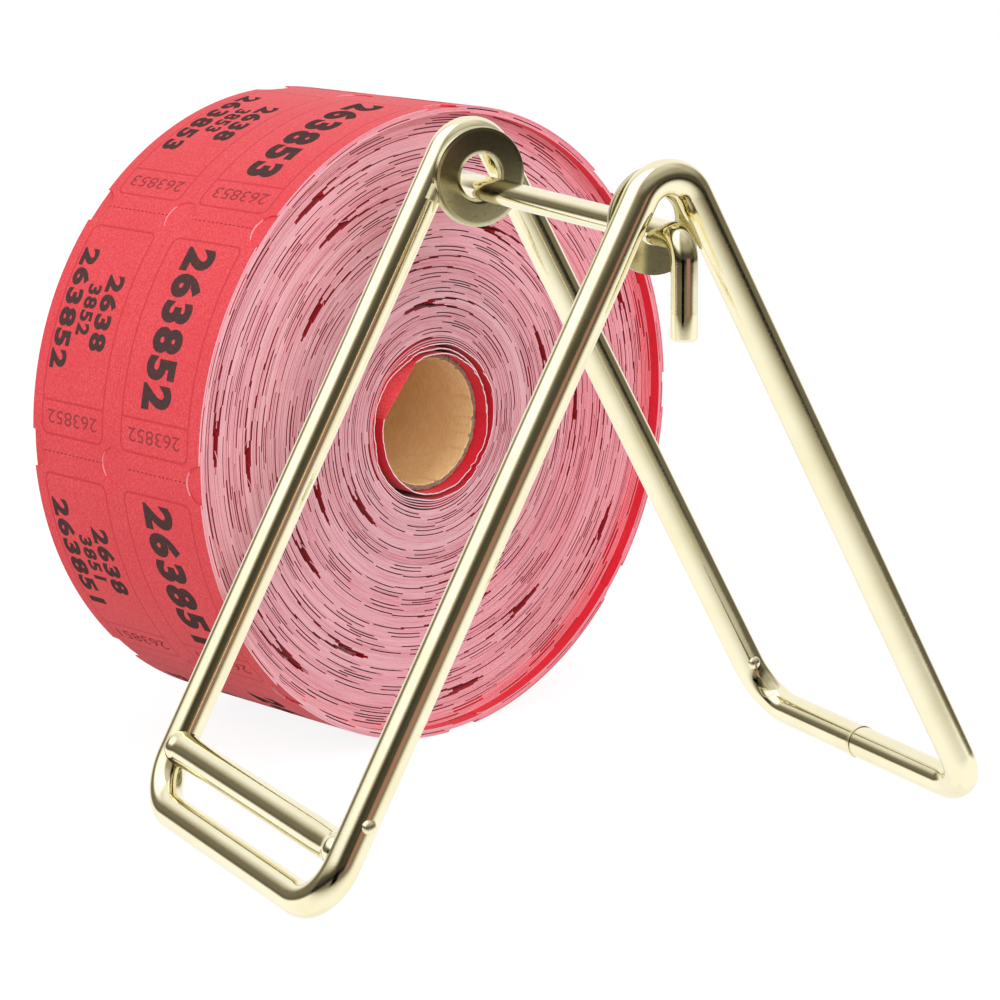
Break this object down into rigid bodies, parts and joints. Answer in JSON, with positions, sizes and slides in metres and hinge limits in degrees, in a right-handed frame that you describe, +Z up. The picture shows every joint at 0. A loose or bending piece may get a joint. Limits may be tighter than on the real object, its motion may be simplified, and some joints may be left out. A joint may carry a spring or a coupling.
{
  "type": "ticket roll stand",
  "caption": "Bent wire counter stand with a tear bar and a pull-out hooked axle rod, with a wound roll of paper tickets on a cardboard core standing behind it.",
  "frame": {"origin": "centre of the whole object's footprint on the counter, at the level of the counter", "axes": "+Z up; +X from the tear bar at the front to the rear base bar; +Y along the axle rod, from its hook towards the ticket roll"},
  "size_m": [0.1425, 0.1698, 0.1275],
  "materials": {
    "plated_wire": "polished",
    "plated_washer": "polished",
    "plated_weld": "satin",
    "core_board": "matte",
    "ticket_edges": "matte",
    "ticket_face": "matte"
  },
  "bodies": {
    "stand": {"frame_wire": "plated_wire", "butt_weld": "plated_weld", "tear_bar": "plated_wire", "tear_bar_welds": "plated_weld", "near_washer": "plated_washer", "far_washer": "plated_washer", "washer_welds": "plated_weld", "plating_marks": "plated_weld"},
    "axle": {"axle_rod": "plated_wire"},
    "ticket_roll": {"roll_core": "core_board", "inner_turns": "ticket_face", "ticket_pack": "ticket_edges", "outer_turns": "ticket_edges", "ticket_strip": "ticket_face"}
  },
  "joints": [
    {"name": "axle_slide", "type": "slide", "parent": "stand", "child": "axle", "axis": [0, -1, 0], "range_m": [0, 0.08]},
    {"name": "roll_lift", "type": "slide", "parent": "stand", "child": "ticket_roll", "axis": [0, 0, 1], "range_m": [0, 0.15]}
  ]
}
